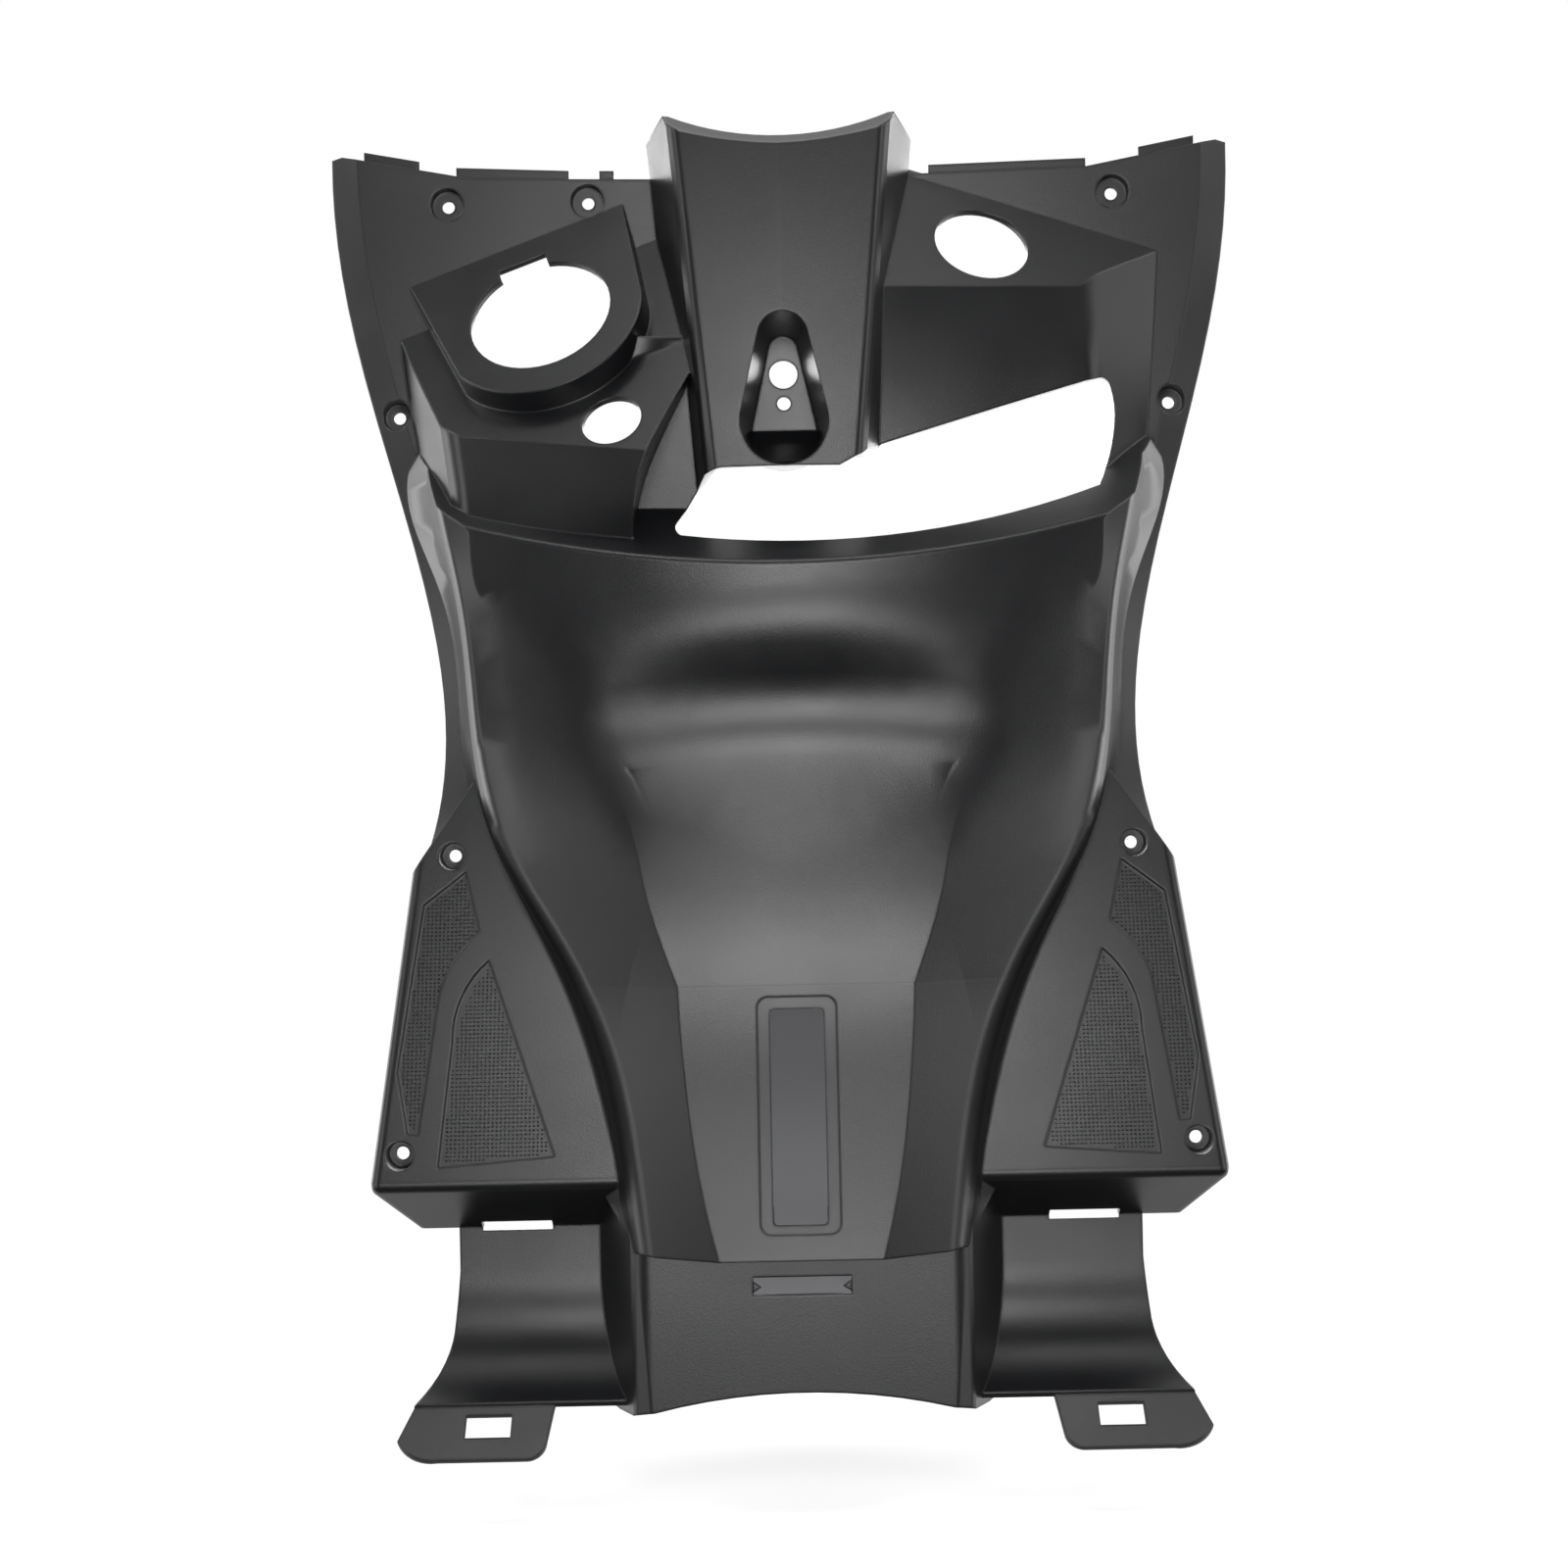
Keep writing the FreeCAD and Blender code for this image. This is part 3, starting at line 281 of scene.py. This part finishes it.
up_slope = Vector((0, -math.sin(FOOT_TILT), math.cos(FOOT_TILT)))
off_slope = Vector((0, -math.cos(FOOT_TILT), math.sin(FOOT_TILT)))
for side, sign in (("left", -1), ("right", 1)):
    points, faces = [], []
    for corners in (INNER_PAD, OUTER_PAD):
        for column in range(PAD_COLUMNS):
            for row in range(PAD_ROWS):
                x = PAD_INNER + column * STUD_PITCH
                y = PAD_TOP - row * STUD_PITCH * math.cos(FOOT_TILT)
                if not clear_inside(x, y, corners, STUD_MARGIN):
                    continue
                plane = FOOT_FRONT + (FOOT_LEVEL - y) * math.tan(FOOT_TILT)
                foot = Vector((sign * x, KEY_FLOOR - plane, y - KEY_HEIGHT)) - off_slope * (PAD_DEPTH + STUD_ROOT)
                start = len(points)
                for radius, rise in ((STUD_BASE, 0.0), (STUD_TOP, STUD_HEIGHT)):
                    for step in range(STUD_SIDES):
                        turn = step * math.tau / STUD_SIDES
                        spread = Vector((math.cos(turn), 0, 0)) + up_slope * math.sin(turn)
                        points.append((foot + spread * radius + off_slope * rise) / 1000)
                for step in range(STUD_SIDES):
                    after = (step + 1) % STUD_SIDES
                    faces.append((start + step, start + after, start + STUD_SIDES + after, start + STUD_SIDES + step))
                faces.append(tuple(start + STUD_SIDES + step for step in range(STUD_SIDES)))
    studs_mesh = bpy.data.meshes.new(f"{side}_pad_studs")
    studs_mesh.from_pydata(points, [], faces)
    studs_mesh.materials.append(black_plastic)
    studs = bpy.data.objects.new(f"{side}_pad_studs", studs_mesh)
    bpy.context.scene.collection.objects.link(studs)
    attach(studs, "root")

# Clip slot: a small barb at each end of the slot under the tunnel keeps the floor cover's clip from sliding.
# Both are moulded in the slot's own wall. Sizes are in millimetres from the key hole.
BARB_FRONT, BARB_BACK = -64.0, -61.2
BARB_CORNERS = ((22.3, -417.6), (18.3, -420.2), (22.3, -422.8))
points, faces = [], []
for sign in (-1, 1):
    start = len(points)
    for depth in (BARB_FRONT, BARB_BACK):
        for across, height in BARB_CORNERS:
            points.append((sign * across / 1000, depth / 1000, height / 1000))
    faces += [(start, start + 1, start + 2), (start + 5, start + 4, start + 3)]
    faces += [(start + a, start + b, start + 3 + b, start + 3 + a) for a, b in ((1, 0), (2, 1), (0, 2))]
barb_mesh = bpy.data.meshes.new("clip_slot_barbs")
barb_mesh.from_pydata(points, [], faces)
barb_mesh.materials.append(black_plastic)
barbs = bpy.data.objects.new("clip_slot_barbs", barb_mesh)
bpy.context.scene.collection.objects.link(barbs)
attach(barbs, "root")

# The floor: a sheet of pale paper under the panel, which hangs by its top screws just clear of it.
# It takes the shadow and fades out into the white.
FLOOR_SIZE, FLOOR_DROP, FADE_STARTS, FADE_ENDS, FADE_LEVEL = 3, 0.03, 0.22, 0.55, 0.65
bpy.ops.mesh.primitive_plane_add(size=FLOOR_SIZE, location=(0, 0, cad_box[0].z - FLOOR_DROP))
floor = bpy.context.object
floor.name = "pale_floor"
paper = bpy.data.materials.new("pale_floor")
paper.use_nodes = True
add, link = paper.node_tree.nodes.new, paper.node_tree.links.new
sheet = paper.node_tree.nodes["Principled BSDF"]
sheet.inputs["Base Color"].default_value = (0.9, 0.9, 0.9, 1)
sheet.inputs["Roughness"].default_value = 0.9
sheet.inputs["Specular IOR Level"].default_value = 0.1
spot = add("ShaderNodeTexCoord")
reach = add("ShaderNodeVectorMath")
reach.operation = "LENGTH"
fade = add("ShaderNodeMapRange")
fade.interpolation_type = "SMOOTHSTEP"
fade.inputs["From Min"].default_value = FADE_STARTS
fade.inputs["From Max"].default_value = FADE_ENDS
fade.inputs["To Min"].default_value = FADE_LEVEL
fade.inputs["To Max"].default_value = 0.0
link(spot.outputs["Object"], reach.inputs[0])
link(reach.outputs["Value"], fade.inputs["Value"])
link(fade.outputs["Result"], sheet.inputs["Alpha"])
floor.data.materials.append(paper)
floor.visible_glossy = False

# The card: a small grey board behind the tunnel, as wide as the number window and the clip slot need.
# Its grey is painted shade for the shadowed ground seen through them, and the lamps light it as well.
# It is seen through them from the front only.
CARD_WIDTH, CARD_HEIGHT, CARD_BEHIND, CARD_LEVEL = 0.06, 0.17, 0.07, -0.385
bpy.ops.mesh.primitive_plane_add(size=1, location=(0, CARD_BEHIND, CARD_LEVEL), rotation=(math.radians(90), 0, 0))
card = bpy.context.object
card.scale = (CARD_WIDTH, CARD_HEIGHT, 1)
card.name = "painted_shade_card"
shade_board = bpy.data.materials.new("painted_shade_card")
shade_board.use_nodes = True
add, link = shade_board.node_tree.nodes.new, shade_board.node_tree.links.new
face = shade_board.node_tree.nodes["Principled BSDF"]
# This grey, darker than the white floor, is painted shade behind the window and the slot.
face.inputs["Base Color"].default_value = (0.27, 0.27, 0.28, 1)
face.inputs["Roughness"].default_value = 0.9
turned = add("ShaderNodeNewGeometry")
front_only = add("ShaderNodeMath")
front_only.operation = "SUBTRACT"
front_only.inputs[0].default_value = 1.0
link(turned.outputs["Backfacing"], front_only.inputs[1])
link(front_only.outputs["Value"], face.inputs["Alpha"])
card.data.materials.append(shade_board)

# The light tent: white to the eye all round, and as a light dim before the panel and brighter behind it.
TENT_FRONT, TENT_BACK, FRONT_ENDS, BACK_STARTS = 0.07, 0.8, -0.1, 0.4
tent = bpy.data.worlds.new("light_tent")
bpy.context.scene.world = tent
tent.use_nodes = True
tent.node_tree.nodes.clear()
add, link = tent.node_tree.nodes.new, tent.node_tree.links.new
seen = add("ShaderNodeLightPath")
either = add("ShaderNodeMath")
either.operation = "MAXIMUM"
cloth = add("ShaderNodeBackground")
cloth.inputs["Color"].default_value = (1, 1, 1, 1)
direction = add("ShaderNodeTexCoord")
split = add("ShaderNodeSeparateXYZ")
level = add("ShaderNodeMapRange")
level.interpolation_type = "SMOOTHSTEP"
level.inputs["From Min"].default_value = FRONT_ENDS
level.inputs["From Max"].default_value = BACK_STARTS
level.inputs["To Min"].default_value = TENT_FRONT
level.inputs["To Max"].default_value = TENT_BACK
white = add("ShaderNodeBackground")
white.inputs["Color"].default_value = (1, 1, 1, 1)
white.inputs["Strength"].default_value = 1.0
choice = add("ShaderNodeMixShader")
world_out = add("ShaderNodeOutputWorld")
link(direction.outputs["Generated"], split.inputs["Vector"])
link(split.outputs["Y"], level.inputs["Value"])
link(level.outputs["Result"], cloth.inputs["Strength"])
link(seen.outputs["Is Camera Ray"], either.inputs[0])
link(seen.outputs["Is Transmission Ray"], either.inputs[1])
link(either.outputs["Value"], choice.inputs["Fac"])
link(cloth.outputs["Background"], choice.inputs[1])
link(white.outputs["Background"], choice.inputs[2])
link(choice.outputs["Shader"], world_out.inputs["Surface"])


# The lamps: softboxes before, over, beside and behind the panel.
# The two nearest light the ramp and the plate under it.
def softbox(name, spot, aim, width, height, watts):
    lamp = bpy.data.lights.new(name, "AREA")
    lamp.shape = "RECTANGLE"
    lamp.size, lamp.size_y = width, height
    lamp.energy = watts
    box = bpy.data.objects.new(name, lamp)
    box.location = spot
    box.rotation_euler = (Vector(aim) - Vector(spot)).to_track_quat("-Z", "Y").to_euler()
    bpy.context.scene.collection.objects.link(box)


MIDDLE = (0, 0, -0.2)
softbox("key_softbox", (0, -0.86, 0.14), (0, 0, -0.28), 0.36, 0.24, 3.5)
softbox("low_softbox", (0, -1.15, -0.34), (0, 0, -0.38), 0.42, 0.2, 3.6)
softbox("foot_softbox", (0, -1.6, -0.62), (0, 0, -0.45), 1.1, 0.3, 5.5)
softbox("wide_softbox", (0, -1.64, 0.53), MIDDLE, 1.3, 0.36, 2)
softbox("top_softbox", (0, -0.45, 1.5), MIDDLE, 1.2, 0.36, 9)
softbox("back_softbox", (0, 1.65, 0.4), MIDDLE, 1.4, 0.8, 20)
softbox("low_back_softbox", (0, 1.75, -0.3), MIDDLE, 1.4, 0.8, 8)
softbox("edge_softbox", (0, 0.6, 1.4), MIDDLE, 1.3, 0.45, 3)
for side, sign in (("left", -1), ("right", 1)):
    softbox(f"{side}_softbox", (sign * 1.48, -0.6, -0.2), MIDDLE, 0.6, 1.4, 8)
    softbox(f"{side}_rear_softbox", (sign * 1.39, 0.8, -0.2), MIDDLE, 0.7, 1.4, 9)
    softbox(f"{side}_high_softbox", (sign * 1.22, -0.33, 0.94), MIDDLE, 0.6, 0.6, 8)

# The camera: square on to the panel, a little over a metre away, turned a degree as in the photograph.
CAMERA_PLACE, CAMERA_TURN = (0, -1.11, -0.1948), math.radians(-1.2)
eye = bpy.data.cameras.new("camera")
eye.sensor_width = 36
eye.lens = 53.57
eye.shift_x = -0.005
camera = bpy.data.objects.new("camera", eye)
camera.matrix_world = (Matrix.Translation(CAMERA_PLACE) @ Matrix.Rotation(math.radians(90), 4, "X")
                       @ Matrix.Rotation(CAMERA_TURN, 4, "Z"))
bpy.context.scene.collection.objects.link(camera)
bpy.context.scene.camera = camera
bpy.context.scene.view_settings.view_transform = "Standard"
